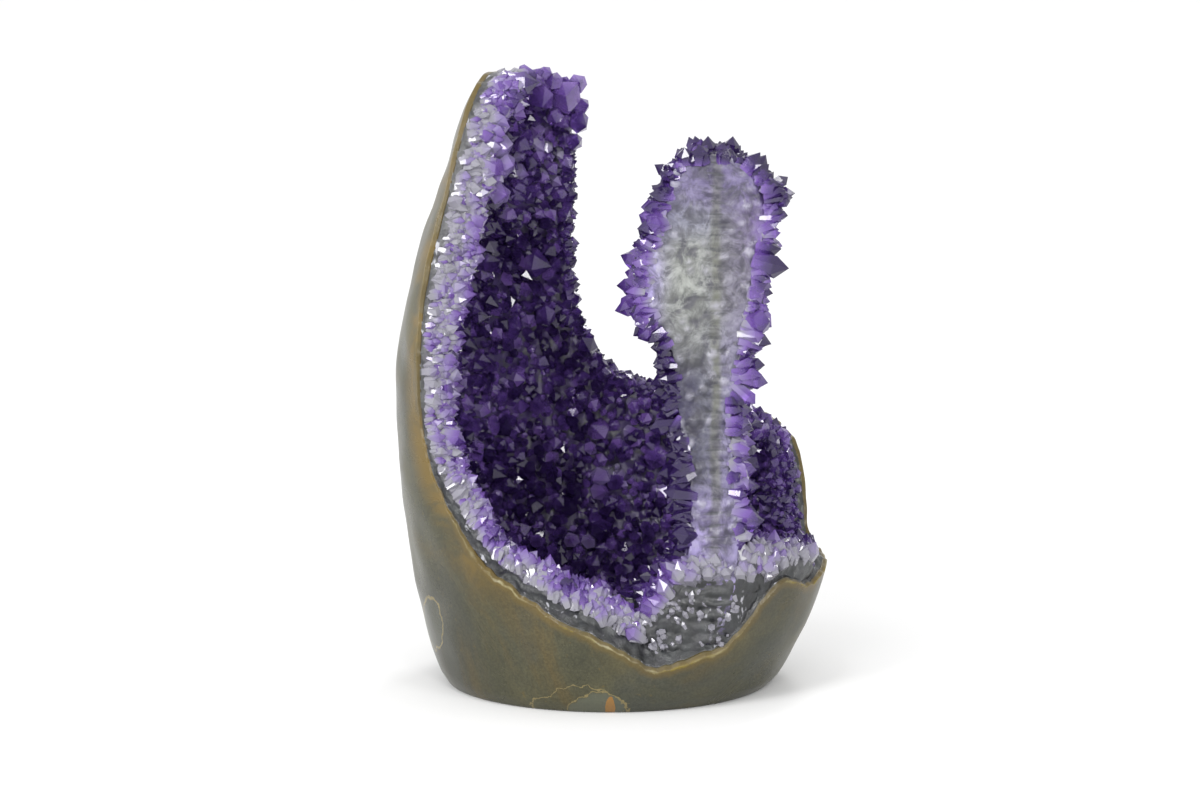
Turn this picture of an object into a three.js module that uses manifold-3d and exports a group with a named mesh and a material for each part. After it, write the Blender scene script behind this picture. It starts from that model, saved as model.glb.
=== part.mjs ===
// A sawn-base amethyst geode: a hollow nodule lined with crystals, its left and back wall left tall,
// its front and right cut low, and a crystal-covered septum standing in the opening.
// Millimetres, +Z up, origin at the centre of the sawn base. The viewer stands at -Y, with +X to the right.
import * as THREE from "three";
import { mergeVertices } from "three/addons/utils/BufferGeometryUtils.js";
import Module from "manifold-3d";

// Driving dimensions of the nodule
const HEIGHT = 183; // top of the tall wall above the base
const SKIN = 2; // rock skin on the walls
const FLOOR_SKIN = 5; // rock left under the quartz at the sawn base
const QUARTZ = 8; // quartz band between the rock skin and the crystal bed
const FLOOR_QUARTZ = 14; // quartz under the bed at the cavity's floor
const SKIN_BOWL = 8; // height over which the skin's inside rounds from floor to wall
const BED_BOWL = 26; // the same for the bed that the crystals grow from
const GAP = 0.3; // clearance between touching pieces
const CUT_GAP = 1; // clearance over the cut edge, whose surface is twisted
const ABOVE = 8; // how far the uncut nodule is built above the tall wall, before trimming

// The polished outside: half-widths of the oval at a few heights, as [height, left, right, front, back]
const OVAL = [
  [0, 49, 48, 40, 41],
  [4, 51.5, 52, 42.5, 43.5],
  [20, 56, 60.5, 47, 47],
  [40, 60, 66, 50, 50],
  [80, 64, 68, 54, 52],
  [115, 61.5, 66, 53, 49],
  [150, 51, 58, 46, 41],
  [172, 43.5, 50, 40, 34],
  [192, 33, 40, 32, 26],
];

// The cut edge of the shell, once round the nodule, as
// [azimuth in degrees, height, rise of the cut per mm inwards].
// Azimuth 0 is the right, 90 the back, 180 the left and 270 the front.
const RIM = [
  [108, 160, 0],
  [111, 172, 0],
  [122, 179, 0],
  [145, HEIGHT, 0],
  [170, 182.5, 0],
  [185, 178, 0],
  [193, 167, 0],
  [200, 141, 0],
  [206, 105, 0],
  [211, 76, 0.1],
  [227, 49, 0.6],
  [243, 36, 0.9],
  [262, 24.5, 1.2],
  [276, 17, 1.4],
  [284, 13.5, 1.5],
  [297, 16, 1.6],
  [307, 21, 1.6],
  [314, 31, 1.3],
  [322, 37, 0.9],
  [336, 34, 0.8],
  [360, 37, 0.6],
  [380, 41, 0],
  [384.5, 48, 0],
  [388, 60, 0],
  [393, 69, 0],
  [403, 75, 0],
  [426, 79, 0],
  [449, 86, 0],
  [456, 94, 0],
  [461, 104, 0],
  [464, 116, 0],
  [466.3, 140, 0],
];

// The septum's quartz core: [height, left of spine, right of spine, y of its sawn face, back y]
const SPINE_X = 30.5;
const SEPTUM = [
  [20, 10, 2, -39.8, -5],
  [36, 9, 6, -39.2, -6],
  [50, 8, 7, -38.5, -7],
  [66, 7.5, 6, -37, -8],
  [90, 11.5, 4.5, -34.5, -9],
  [105, 13, 7.5, -33, -8],
  [114, 18.5, 9, -32, -7],
  [124, 21.5, 12, -31, -6],
  [135, 19, 13, -30, -6],
  [149, 14.5, 16, -28.5, -7],
  [156, 13, 13, -28, -9],
  [161, 9, 5, -27.5, -13],
];
const BEFORE_SAW = 9; // how far it reached in front of that face before it was sawn
const SQUARENESS = 0.7; // the power of cosine and sine in a slab's plan: 1 is an oval, less is squarer
const SEPTUM_CAP = 2; // the core's top closes this far above its last section
// The quartz mound that the septum grows from, low on the right, in the same columns
const MOUND = [
  [12, 27, 28, -40, 6],
  [24, 26, 30, -40, 6],
  [33, 19, 31, -39.5, 5],
  [40, 12, 29, -39, 2],
  [44, 8, 22, -38.5, -2],
];
const MOUND_CAP = 2;

// Crystals
const COLUMNS = 32; // crystals round the nodule, and columns of every layer
const LINING_ROWS = 21; // rows of crystals from the middle of the floor to the top
const HALVED_ROWS = [3, 1]; // rows that have half as many crystals as the row above
const ROW = 8; // height of one row of crystals on the septum
const VALLEY = 1.2; // where neighbouring crystals meet, above the bed
const TIP = [3, 8]; // least and greatest height of a tip above the valleys
const SLAB_COLUMNS = 14; // columns of the septum's core and of the mound
const SEPTUM_COLUMNS = 12; // crystals round the septum
const SEPTUM_TIP = [4.5, 7.5];
const SEPTUM_FOOT = 26; // height at which the septum's crystals start, inside the mound
const SEPTUM_MIDDLE = { foot: -22, top: -18 }; // y of the middle of the septum where they start and end
const CROWN = { rise: 2, inset: 3, height: 5 }; // the last ring of crystals over the septum's top
const RIM_PROUD = 2; // how far the lining's crystals stand above the cut edge
const LEAN = 1.7; // how far a tip stands off its own centre
// The crystals on the cut edge: where they start and end by rows of RIM, how deep under the outside they
// stand, how far they lean inwards for each unit upwards, and the share of their height below the edge
const RIM_CRYSTALS = {
  from: 21.5,
  to: 33.5,
  count: 25,
  radius: 4.4,
  height: 12,
  depth: [4, 13],
  lean: [-0.1, 0.5],
  sunk: 0.4,
};
const LIP_CRYSTALS = {
  from: 33,
  to: 36,
  count: 6,
  radius: 5.5,
  height: 12,
  depth: [8, 14],
  lean: [1, 2],
  sunk: 0.65,
};
// The crystals on the mound: how far they spread from its middle, and how high they are rooted
const MOUND_CRYSTALS = { count: 15, radius: 5, height: 12, reach: [24, 17], middle: [39, -18], foot: 36 };

const wasm = await Module();
wasm.setup();
THREE.MathUtils.seededRandom(7);
const random = (low, high) => low + (high - low) * THREE.MathUtils.seededRandom();

// A smooth curve through rows of numbers, by cubic pieces with the slope of the neighbouring rows.
function blend(before, p, q, after, span, t) {
  const [rise, fall] = [(q - before) * span[0], (after - p) * span[1]];
  const [t2, t3] = [t * t, t * t * t];
  return (2 * t3 - 3 * t2 + 1) * p + (t3 - 2 * t2 + t) * rise + (3 * t2 - 2 * t3) * q + (t3 - t2) * fall;
}

// The other columns of a table whose first column is height, at one height.
function atHeight(table, height) {
  const last = table.length - 1;
  let i = 0;
  while (i < last - 1 && height > table[i + 1][0]) i++;
  const [a, p, q, b] = [Math.max(i - 1, 0), i, i + 1, Math.min(i + 2, last)].map((k) => table[k]);
  const step = q[0] - p[0];
  const span = [step / (q[0] - a[0]), step / (b[0] - p[0])];
  return p.slice(1).map((v, c) => blend(a[c + 1], v, q[c + 1], b[c + 1], span, (height - p[0]) / step));
}

// A place on the cut edge: station counts the rows of RIM, and goes round again after the last.
function rimAt(station) {
  const i = Math.floor(station) + RIM.length;
  const rows = [i - 1, i, i + 1, i + 2].map((k) => RIM[k % RIM.length].slice());
  rows.slice(1).forEach((row, k) => (row[0] += 360 * Math.round((rows[k][0] - row[0]) / 360)));
  const [a, p, q, b] = rows;
  return p.map((v, c) => blend(a[c], v, q[c], b[c], [0.5, 0.5], station % 1));
}

// A point inside the oval at one height: inset mm in from the outside, then shrunk towards the axis.
function ovalPoint(azimuth, height, inset = 0, shrink = 1) {
  const [left, right, front, back] = atHeight(OVAL, height);
  const [c, s] = [Math.cos(azimuth), Math.sin(azimuth)];
  const [across, deep] = [c < 0 ? left : right, s < 0 ? front : back];
  return new THREE.Vector3((across - inset) * c * shrink, (deep - inset) * s * shrink, height);
}

// How deep the quartz band and the crystal bed lie under the outside: both wander a little, as they grew.
const skinDepth = (azimuth, height) => SKIN + 0.5 * Math.sin(3 * azimuth + height / 17);
const bedDepth = (azimuth, height) =>
  SKIN + QUARTZ + 1.1 * Math.sin(2 * azimuth + 1 + height / 21) + 0.8 * Math.sin(5 * azimuth - height / 13);

// One closed surface made of rings that follow each other, each ring running the same way round.
class Surface {
  points = [];
  triangles = [];
  ring(points) {
    return points.map((p) => this.points.push(p) - 1);
  }
  face(a, b, c) {
    this.triangles.push(a, b, c);
  }
  // Plain faces between two rings of like length, or a fan where the first or the second is a single point.
  join(a, b) {
    const n = Math.max(a.length, b.length);
    for (let k = 0; k < n; k++) {
      const next = (k + 1) % n;
      if (a.length > 1) this.face(a[k], a[next], b[b.length > 1 ? next : 0]);
      if (b.length > 1) this.face(a[a.length > 1 ? k : 0], b[next], b[k]);
    }
  }
  // Joins two rings whatever their lengths: alike, or one with half the points of the other.
  bridge(a, b) {
    if (a.length === 2 * b.length) this.halve(a, b);
    else if (b.length === 2 * a.length) this.double(a, b);
    else this.join(a, b);
  }
  // A whole wall of rings, seen from the outside, or from the inside with the same creases.
  wall(rings, inwards = false) {
    const made = rings.map((r) => this.ring(r));
    const start = this.triangles.length;
    made.slice(1).forEach((r, i) => this.join(made[i], r));
    if (inwards) this.triangles.push(...this.triangles.splice(start).reverse());
    return made;
  }
  // Joins a ring to one with half as many points.
  halve(a, b) {
    b.forEach((low, k) => {
      const next = b[(k + 1) % b.length];
      const [left, middle, right] = [a[2 * k], a[2 * k + 1], a[(2 * k + 2) % a.length]];
      this.face(left, middle, low);
      this.face(middle, next, low);
      this.face(middle, right, next);
    });
  }
  // Joins a ring to one with twice as many points.
  double(a, b) {
    a.forEach((high, k) => {
      const next = a[(k + 1) % a.length];
      const [left, middle, right] = [b[2 * k], b[2 * k + 1], b[(2 * k + 2) % b.length]];
      this.face(high, middle, left);
      this.face(high, next, middle);
      this.face(next, right, middle);
    });
  }
  // A row of six-sided crystals between two rings, laid like bricks. Each takes three points of either ring.
  crystals(a, b, shift, tip) {
    const n = a.length;
    for (let k = shift; k < n + shift; k += 2) {
      const [upper, lower] = [a, b].map((r) => [k, k + 1, k + 2].map((i) => r[i % n]));
      const edge = [...upper, ...lower.slice().reverse()];
      const at = (i) => this.points[i];
      const along = at(upper[2]).clone().sub(at(upper[0]));
      const down = at(lower[1]).clone().sub(at(upper[1]));
      const out = along.clone().cross(down).normalize();
      const middle = edge.reduce((sum, i) => sum.add(at(i)), new THREE.Vector3()).divideScalar(edge.length);
      middle.addScaledVector(along.normalize(), random(-LEAN, LEAN));
      middle.addScaledVector(down.normalize(), random(-LEAN, LEAN));
      const [apex] = this.ring([middle.addScaledVector(out, random(...tip))]);
      edge.forEach((p, i) => this.face(p, edge[(i + 1) % edge.length], apex));
    }
  }
  solid() {
    const geometry = new THREE.BufferGeometry().setFromPoints(this.points).setIndex(this.triangles);
    return solidOf(geometry);
  }
}

// A closed geometry as a solid that can be joined and cut.
function solidOf(geometry) {
  geometry.deleteAttribute("normal");
  geometry.deleteAttribute("uv");
  const merged = mergeVertices(geometry, 1e-4);
  return new wasm.Manifold(
    new wasm.Mesh({
      numProp: 3,
      vertProperties: new Float32Array(merged.attributes.position.array),
      triVerts: new Uint32Array(merged.index.array),
    }),
  );
}

// The largest body of a solid, without the crumbs that trimming can leave.
function largest(solid) {
  return solid.decompose().reduce((a, b) => (b.volume() > a.volume() ? b : a));
}

const radians = THREE.MathUtils.degToRad;
const turn = (count) => Array.from({ length: count }, (_, k) => (2 * Math.PI * k) / count);
const TOP = HEIGHT + ABOVE;
const BASE_LEVELS = [0, 5, 24, 40];
const LEVELS = [58, 82, 106, 130, 151, 172, TOP];
const BOWL_ANGLES = [24, 46, 68, 90].map(radians);

// One inner surface at one azimuth, from the middle of its floor, round its bowl and up to the top.
function profile(azimuth, { depth, floor, bowl }, more) {
  const at = (height, shrink) => ovalPoint(azimuth, height, depth(azimuth, height) + more, shrink);
  const foot = floor + more;
  return [
    new THREE.Vector3(0, 0, foot),
    ...BOWL_ANGLES.map((angle) => at(foot + bowl * (1 - Math.cos(angle)), Math.sin(angle))),
    ...LEVELS.map((height) => at(height, 1)),
  ];
}
const SKIN_INSIDE = { depth: skinDepth, floor: FLOOR_SKIN, bowl: SKIN_BOWL, columns: COLUMNS / 2 };
const BED = { depth: bedDepth, floor: FLOOR_SKIN + FLOOR_QUARTZ, bowl: BED_BOWL, columns: COLUMNS };

// The same surface as rings, its middle first.
function rings(layer, more) {
  const profiles = turn(layer.columns).map((azimuth) => profile(azimuth, layer, more));
  return profiles[0].map((point, i) => (i ? profiles.map((p) => p[i]) : [point]));
}

// A vessel between two surfaces: up the outer one, over the top and down the inner one.
function vessel(outer, inner) {
  const surface = new Surface();
  surface.bridge(surface.wall(outer).pop(), surface.wall(inner, true).pop());
  return surface.solid();
}

// A closed solid that fills a surface up to the top.
function filled(layers) {
  const surface = new Surface();
  surface.join(surface.wall(layers).pop(), surface.ring([new THREE.Vector3(0, 0, TOP)]));
  return surface.solid();
}

// The cut edge moved square to itself, away from the rock that is left.
function movedRim(station, away) {
  const [azimuth, height, slope] = rimAt(station);
  const [[before, low], [after, high]] = [rimAt(station + RIM.length - 0.2), rimAt(station + 0.2)];
  const radius = Math.hypot(...ovalPoint(radians(azimuth), height).toArray().slice(0, 2));
  const turned = THREE.MathUtils.euclideanModulo(after - before, 360);
  const round = radians(turned > 180 ? turned - 360 : turned) * radius;
  const length = Math.hypot(round, high - low);
  const shift = (-away * (high - low)) / length / radius;
  return [radians(azimuth) + shift, height + (away * round) / length, slope];
}

// What the saw and the hammer took away: a ring of space above the cut edge, moved off for what stands
// proud of it. Inside the nodule the cut rises towards the axis, and outside it is a level brim.
function cutAway(away) {
  const [axis, hollow, outline, far, high] = [0.06, 0.7, 1.01, 1.5, TOP + 60];
  const perRow = 2;
  const stations = Array.from({ length: RIM.length * perRow }, (_, i) => movedRim(i / perRow, away));
  const edge = (share) =>
    stations.map(([azimuth, height, slope]) => {
      const p = ovalPoint(azimuth, height);
      const inwards = Math.max(0, Math.hypot(p.x, p.y) * (1 - share));
      return new THREE.Vector3(p.x * share, p.y * share, height + slope * inwards);
    });
  const raised = (points) => points.map((p) => p.clone().setZ(high));
  const surface = new Surface();
  const shares = [axis, hollow, outline, far].map(edge);
  const made = [...shares, raised(shares[3]), raised(shares[0])].map((r) => surface.ring(r));
  made.forEach((r, i) => surface.join(r, made[(i + 1) % made.length]));
  return surface.solid();
}

// One level of the septum or its mound: a rounded slab about the spine, flat where the saw cut its front.
function slabRing(table, height, grow, count) {
  const [left, right, face, back] = atHeight(table, height);
  const front = face - BEFORE_SAW;
  const [middle, half] = [(front + back) / 2, (back - front) / 2];
  return turn(count).map((a) => {
    const [c, s] = [Math.cos(a), Math.sin(a)].map((v) => Math.sign(v) * Math.abs(v) ** SQUARENESS);
    const across = (c < 0 ? left : right) + grow;
    return new THREE.Vector3(SPINE_X + across * c, middle + (half + grow) * s, height);
  });
}

function slab(table, cap, grow) {
  const surface = new Surface();
  const [bottom, top] = [table[0][0], table[table.length - 1][0]];
  const middle = (height) => {
    const [, , front, back] = atHeight(table, height);
    return new THREE.Vector3(SPINE_X, (front + back) / 2, height);
  };
  const sections = table.map(([height]) => slabRing(table, height, grow, SLAB_COLUMNS));
  surface.wall([[middle(bottom)], ...sections, [middle(top).setZ(top + cap + grow)]]);
  return surface.solid();
}

// A point on the valleys of the lining. Share runs from 0 in the middle of the floor to 1 at the top.
function valleyPoint(azimuth, share) {
  const points = profile(azimuth, BED, GAP + VALLEY + random(0, 1.2));
  const steps = points.slice(1).map((p, i) => p.distanceTo(points[i]));
  let left = share * steps.reduce((a, b) => a + b);
  let i = 0;
  while (i < steps.length - 1 && left > steps[i]) left -= steps[i++];
  return points[i].clone().lerp(points[i + 1], Math.min(left / steps[i], 1));
}

// The crystals that line the nodule: the back follows the bed, the front is rows of crystal tips.
function liningCrystals() {
  const surface = new Surface();
  const back = surface.wall(rings(BED, GAP));
  const valleys = (row, count) => {
    const jog = (amount) => random(-amount, amount);
    const point = (azimuth) => valleyPoint(azimuth + jog(0.9 / count), (row + jog(0.08)) / LINING_ROWS);
    return surface.ring(turn(count).map(point));
  };
  let ring = surface.ring(turn(2 * COLUMNS).map((azimuth) => valleyPoint(azimuth, 1)));
  surface.bridge(back[back.length - 1], ring);
  for (let row = LINING_ROWS - 1; row > 0; row--) {
    if (HALVED_ROWS.includes(row)) {
      const half = valleys(row + 0.9, ring.length / 2);
      surface.bridge(ring, half);
      ring = half;
    }
    const next = valleys(row, ring.length);
    surface.crystals(ring, next, row % 2, TIP);
    ring = next;
  }
  surface.join(ring, surface.ring([new THREE.Vector3(0, 0, BED.floor + GAP + VALLEY + TIP[1])]));
  return surface.solid();
}

// The crystals that cover the septum: rows of tips round a tube, closed by a fan of tips at the top.
function septumCrystals() {
  const surface = new Surface();
  const bottom = SEPTUM_FOOT;
  const top = SEPTUM[SEPTUM.length - 1][0] + SEPTUM_CAP;
  const rows = Math.round((top - bottom) / ROW);
  const level = (row) => bottom + ((top - bottom) * row) / rows;
  const ringAt = (height, grow) => {
    const within = Math.min(height, SEPTUM[SEPTUM.length - 1][0]);
    const level = slabRing(SEPTUM, within, grow + random(-0.3, 0.5), 2 * SEPTUM_COLUMNS);
    return surface.ring(level.map((p) => p.setZ(height + random(-0.8, 0.8))));
  };
  let ring = ringAt(level(0), VALLEY);
  surface.join(surface.ring([new THREE.Vector3(SPINE_X, SEPTUM_MIDDLE.foot, bottom)]), ring);
  for (let row = 1; row <= rows; row++) {
    const next = ringAt(level(row), VALLEY);
    surface.crystals(ring, next, row % 2, SEPTUM_TIP);
    ring = next;
  }
  const crown = ringAt(top + CROWN.rise, -CROWN.inset);
  surface.crystals(ring, crown, 0, SEPTUM_TIP);
  surface.join(crown, surface.ring([new THREE.Vector3(SPINE_X, SEPTUM_MIDDLE.top, top + CROWN.height)]));
  return surface.solid();
}

// One loose crystal: a five-sided double pyramid, standing on a point and leaning along a direction.
function loneCrystal(root, direction, radius, height) {
  const sides = 5;
  const waist = 0.55 * height;
  const profile = [new THREE.Vector2(0, 0), new THREE.Vector2(radius, waist), new THREE.Vector2(0, height)];
  const prism = new THREE.LatheGeometry(profile, sides);
  prism.rotateY(random(0, Math.PI));
  const upright = new THREE.Vector3(0, 1, 0);
  const lean = new THREE.Quaternion().setFromUnitVectors(upright, direction.clone().normalize());
  prism.applyQuaternion(lean).translate(...root.toArray());
  return solidOf(prism);
}

// Crystals standing along the broken edge of the back wall, and larger ones at the top of the tall wall.
function edgeCrystals() {
  const place = (station, depth) => {
    const [azimuth, height] = rimAt(station);
    return ovalPoint(radians(azimuth), height, depth);
  };
  const grow = ({ radius, height, depth, lean, sunk }, station) => {
    const root = place(station, random(...depth));
    const along = place(station + 0.4, 0).sub(place(station - 0.4, 0));
    const inwards = new THREE.Vector3(-root.x, -root.y, 0).normalize();
    const up = along.cross(inwards).normalize();
    const axis = up.addScaledVector(inwards, random(...lean)).normalize();
    root.addScaledVector(axis, -sunk * height);
    return loneCrystal(root, axis, radius * random(0.8, 1.2), height * random(0.85, 1.15));
  };
  const made = [RIM_CRYSTALS, LIP_CRYSTALS].flatMap((kind) =>
    Array.from({ length: kind.count }, (_, i) =>
      grow(kind, THREE.MathUtils.lerp(kind.from, kind.to, i / kind.count)),
    ),
  );
  return made.reduce((all, one) => all.add(one));
}

// Crystals standing on the mound, on a thin bed of their own, set out as seeds are on a sunflower.
function moundCrystals() {
  const { count, radius, height, reach, middle, foot } = MOUND_CRYSTALS;
  const seedAngle = radians(137.5);
  const grow = (i) => {
    const far = Math.sqrt((i + 0.5) / count);
    const out = new THREE.Vector3(Math.cos(i * seedAngle) * far, Math.sin(i * seedAngle) * far, 0);
    const [x, y] = [middle[0] + reach[0] * out.x, middle[1] + reach[1] * out.y];
    const root = new THREE.Vector3(x, y, foot + 2 * (1 - far));
    return loneCrystal(root, out.setZ(1.6), radius * random(0.8, 1.2), height * random(0.85, 1.15));
  };
  return Array.from({ length: count }, (_, i) => grow(i)).reduce(
    (all, one) => all.add(one),
    slab(MOUND.slice(-2), MOUND_CAP, GAP + VALLEY),
  );
}

// Everything in front of the septum's sawn face: that face's outline in Y and Z, carried along X.
function inFrontOfSeptum() {
  const face = [MOUND[0], ...SEPTUM].map(([height, , , y]) => new THREE.Vector2(y, height));
  const [foot, head] = [face[0], face[face.length - 1]];
  const [front, high, width] = [-120, TOP + 30, 120];
  const corners = [
    [head.x, high],
    [front, high],
    [front, foot.y],
  ].map(([y, height]) => new THREE.Vector2(y, height));
  const shape = new THREE.Shape([...face, ...corners]);
  const block = new THREE.ExtrudeGeometry(shape, { depth: width, bevelEnabled: false });
  const fromShape = new THREE.Matrix4().set(0, 0, 1, SPINE_X - width / 2, 1, 0, 0, 0, 0, 1, 0, 0, 0, 0, 0, 1);
  return solidOf(block.applyMatrix4(fromShape));
}

// The rock skin: the polished outside, hollowed out, and cut
const outside = [
  [new THREE.Vector3(0, 0, 0)],
  ...[...BASE_LEVELS, ...LEVELS].map((height) => turn(COLUMNS).map((a) => ovalPoint(a, height))),
];
const cut = cutAway(0);
const skin = largest(vessel(outside, rings(SKIN_INSIDE, 0)).subtract(cut));

// What the crystals stay clear of: the shell up to the cut edge, and the septum with its mound.
const clearOfShell = vessel(outside, rings(BED, GAP)).subtract(cutAway(CUT_GAP));
const clearOfSeptum = slab(SEPTUM, SEPTUM_CAP, GAP).add(slab(MOUND, MOUND_CAP, GAP));

// The quartz band: the shell's, with the mound and the septum's core grown into one piece with it
const insideRock = filled(rings(SKIN_INSIDE, GAP));
const mound = slab(MOUND, MOUND_CAP, 0).intersect(insideRock);
const core = slab(SEPTUM, SEPTUM_CAP, 0).intersect(insideRock.add(cut));
const shell = vessel(rings(SKIN_INSIDE, GAP), rings(BED, 0)).subtract(cut);
const band = largest(shell.add(mound.add(core).subtract(inFrontOfSeptum())));

// The crystal crust: the lining, the septum's and the mound's covering, and the crystals on the cut edge
const insideBed = filled(rings(BED, GAP)).add(cutAway(CUT_GAP));
const lining = liningCrystals().subtract(cutAway(RIM_PROUD));
const covering = septumCrystals()
  .add(moundCrystals().intersect(filled(outside)))
  .intersect(insideBed)
  .subtract(inFrontOfSeptum());
const onEdge = edgeCrystals().subtract(clearOfShell);
const crust = largest(lining.add(covering).add(onEdge).subtract(clearOfSeptum));

const MATERIALS = {
  rock_skin: { color: 0x77735c, roughness: 0.35 },
  quartz_band: { color: 0x9da0a8, roughness: 0.4 },
  amethyst_crust: { color: 0x4b2f78, roughness: 0.12 },
};

const geode = new THREE.Group();
for (const [name, solid] of Object.entries({ rock_skin: skin, quartz_band: band, amethyst_crust: crust })) {
  const { vertProperties, triVerts } = solid.getMesh();
  const geometry = new THREE.BufferGeometry()
    .setAttribute("position", new THREE.BufferAttribute(vertProperties, 3))
    .setIndex(new THREE.BufferAttribute(triVerts, 1));
  const mesh = new THREE.Mesh(geometry, new THREE.MeshStandardMaterial({ ...MATERIALS[name], metalness: 0 }));
  mesh.name = name;
  geode.add(mesh);
}

export default geode;
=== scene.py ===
"""A sawn-base amethyst geode on its CAD frame: polished basalt, quartz band, septum and crystals."""

import bpy
import numpy as np
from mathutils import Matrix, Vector


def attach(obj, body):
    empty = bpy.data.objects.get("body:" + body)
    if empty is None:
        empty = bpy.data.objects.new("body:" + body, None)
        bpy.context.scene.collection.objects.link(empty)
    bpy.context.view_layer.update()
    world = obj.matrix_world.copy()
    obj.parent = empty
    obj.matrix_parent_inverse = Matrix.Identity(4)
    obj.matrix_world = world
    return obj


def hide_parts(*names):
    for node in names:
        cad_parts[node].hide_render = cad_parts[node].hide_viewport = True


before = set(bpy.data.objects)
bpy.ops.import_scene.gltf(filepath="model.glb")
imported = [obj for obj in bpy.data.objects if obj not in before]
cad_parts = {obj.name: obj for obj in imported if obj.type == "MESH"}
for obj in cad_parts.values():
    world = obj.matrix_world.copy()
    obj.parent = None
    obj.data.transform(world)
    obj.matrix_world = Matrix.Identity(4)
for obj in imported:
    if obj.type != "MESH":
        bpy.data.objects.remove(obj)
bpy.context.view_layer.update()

# The skin of the nodule is olive-grey basalt, ground and polished outside and sawn flat underneath.
# It is a shell under two millimetres thick on the walls, and its upper edge is the line of the cut:
# sawn down the left, broken along the back and right, and low in front.
mm = 0.001

# The polished outside at a few heights: height, then half-widths to the left, right, front and back.
OVAL = mm * np.array(
    [
        [0, 49, 48, 40, 41],
        [4, 51.5, 52, 42.5, 43.5],
        [20, 56, 60.5, 47, 47],
        [40, 60, 66, 50, 50],
        [80, 64, 68, 54, 52],
        [115, 61.5, 66, 53, 49],
        [150, 51, 58, 46, 41],
        [172, 43.5, 50, 40, 34],
        [192, 33, 40, 32, 26],
    ]
)
# The cut edge once round: azimuth in degrees (0 right, 90 back, 180 left, 270 front), height in mm,
# and how far the cut rises for each millimetre inwards.
RIM = np.array(
    [
        [108, 160, 0],
        [111, 172, 0],
        [122, 179, 0],
        [145, 183, 0],
        [170, 182.5, 0],
        [185, 178, 0],
        [193, 167, 0],
        [200, 141, 0],
        [206, 105, 0],
        [211, 76, 0.1],
        [227, 49, 0.6],
        [243, 36, 0.9],
        [262, 24.5, 1.2],
        [276, 17, 1.4],
        [284, 13.5, 1.5],
        [297, 16, 1.6],
        [307, 21, 1.6],
        [314, 31, 1.3],
        [322, 37, 0.9],
        [336, 34, 0.8],
        [360, 37, 0.6],
        [380, 41, 0],
        [384.5, 48, 0],
        [388, 60, 0],
        [393, 69, 0],
        [403, 75, 0],
        [426, 79, 0],
        [449, 86, 0],
        [456, 94, 0],
        [461, 104, 0],
        [464, 116, 0],
        [466.3, 140, 0],
    ]
)
# The height that the inside layers are worked out to, above the whole rim
TOP = 192 * mm
# A layer's depth under the outside, the height of its floor, and the rise of the curve from floor to wall
SKIN_INSIDE = dict(depth=1.5 * mm, floor=5 * mm, rise=8 * mm)
BASE_ROUND = 0.6 * mm
# Places round the cut edge, which are the columns of the skin and the band
COLUMNS = 720


def through(knots, rows, at):
    """A smooth curve through rows of numbers. Between two knots it is the cubic in t, the share of the
    way, that meets both rows and has at each of them the slope of the line between that row's
    neighbours."""
    last = len(knots) - 1
    i = np.clip(np.searchsorted(knots, at, side="right") - 1, 0, last - 1)
    a, b = np.maximum(i - 1, 0), np.minimum(i + 2, last)
    step = knots[i + 1] - knots[i]
    t = ((at - knots[i]) / step)[..., None]
    rise = (rows[i + 1] - rows[a]) * (step / (knots[i + 1] - knots[a]))[..., None]
    fall = (rows[b] - rows[i]) * (step / (knots[b] - knots[i]))[..., None]
    return (
        (2 * t**3 - 3 * t**2 + 1) * rows[i]
        + (t**3 - 2 * t**2 + t) * rise
        + (3 * t**2 - 2 * t**3) * rows[i + 1]
        + (t**3 - t**2) * fall
    )


def half_widths(x, y, height, inset):
    """The oval's half-widths across and deep at a height, on the side of x and y, less an inset."""
    left, right, front, back = np.moveaxis(through(OVAL[:, 0], OVAL[:, 1:], height), -1, 0)
    return np.where(x < 0, left, right) - inset, np.where(y < 0, front, back) - inset


def oval(azimuth, height, inset=0.0, share=1.0):
    """A point of the nodule: x is across times cos a and y is deep times sin a, both times share, where
    across and deep are the half-widths, less the inset, at that height on that side."""
    c, s = np.cos(azimuth), np.sin(azimuth)
    across, deep = half_widths(c, s, height, inset)
    return np.stack(np.broadcast_arrays(across * c * share, deep * s * share, height), -1)


def waves(points, length, seed):
    """Smooth bumps about one wavelength apart, mostly from -1 to 1: the sum of sine waves
    in random directions and phases, over the root of their number."""
    count = 14
    rng = np.random.default_rng(seed)
    direction = rng.normal(size=(points.shape[-1], count))
    direction *= 2 * np.pi / length / np.linalg.norm(direction, axis=0)
    return np.sin(points @ direction + rng.uniform(0, 2 * np.pi, count)).sum(-1) / np.sqrt(count)


def cut_line(count):
    """The cut edge at count places equally far apart along it: the smooth curve through RIM, read at
    equal steps of its own length, and moved a little by waves as a broken edge is. A few rows repeat at
    both ends, so that the curve closes."""
    extra = 3
    station = np.arange(-extra, len(RIM) + extra)
    rows = RIM[station % len(RIM)] + np.array([360, 0, 0]) * (station // len(RIM))[:, None]
    fine = np.linspace(0, len(RIM), 20 * len(RIM) + 1)
    azimuth, height, slope = through(station.astype(float), rows, fine).T
    place = oval(np.radians(azimuth), height * mm)
    length = np.concatenate([[0], np.cumsum(np.linalg.norm(np.diff(place, axis=0), axis=1))])
    even = np.interp(np.linspace(0, length[-1], count, endpoint=False), length, fine)
    azimuth, height, slope = through(station.astype(float), rows, even).T
    place = oval(np.radians(azimuth), height * mm)
    ragged = 0.55 * waves(place, 11 * mm, 1) + 0.35 * waves(place, 4 * mm, 2)
    return np.radians(azimuth), mm * (height + ragged), slope


cut_azimuth, cut_height, cut_slope = cut_line(COLUMNS)
cut_place = oval(cut_azimuth, cut_height)


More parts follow.
